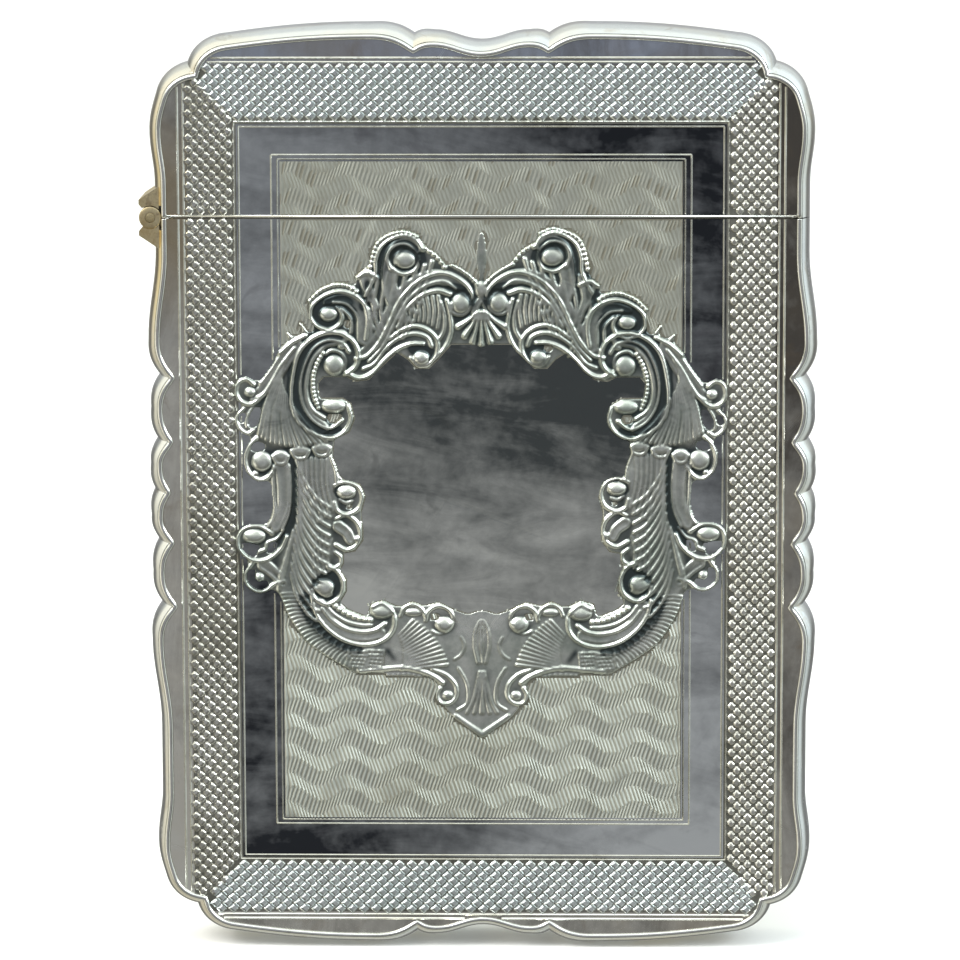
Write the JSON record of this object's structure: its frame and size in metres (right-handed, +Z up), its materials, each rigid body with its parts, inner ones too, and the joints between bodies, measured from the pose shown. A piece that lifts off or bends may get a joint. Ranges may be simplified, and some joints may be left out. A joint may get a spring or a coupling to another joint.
{
  "type": "business card case",
  "caption": "Flat scalloped silver card case with chased and engine-turned faces and a side-hinged lid at the top.",
  "frame": {"origin": "middle of the case's lower edge, halfway through its thickness", "axes": "+Z up from the lower edge to the lid, +Y from the front plate to the back plate, +X to the right seen from the front; the hinge is on the -X side"},
  "size_m": [0.0723, 0.009, 0.1],
  "materials": {
    "chased_silver": "engine-turned and chased silver with tarnish in the cuts",
    "polished_silver": "polished, lightly scratched silver",
    "pin_brass": "dull yellow metal"
  },
  "bodies": {
    "body": {"body_front_plate": "chased_silver", "body_back_plate": "chased_silver", "body_side_wall": "polished_silver", "mouth_collar": "polished_silver", "body_hinge_lug": "polished_silver", "body_knuckle_front": "polished_silver", "body_knuckle_middle": "polished_silver", "body_knuckle_rear": "polished_silver", "hinge_pin": "pin_brass"},
    "lid": {"lid_front_plate": "chased_silver", "lid_back_plate": "chased_silver", "lid_side_wall": "polished_silver", "lid_hinge_lug": "polished_silver", "lid_knuckle_front": "polished_silver", "lid_knuckle_rear": "polished_silver"}
  },
  "joints": [
    {"name": "lid_hinge", "type": "hinge", "parent": "body", "child": "lid", "pos_m": [-0.0352, 0, 0.0795], "axis": [0, -1, 0], "range_deg": [0, 95]}
  ]
}
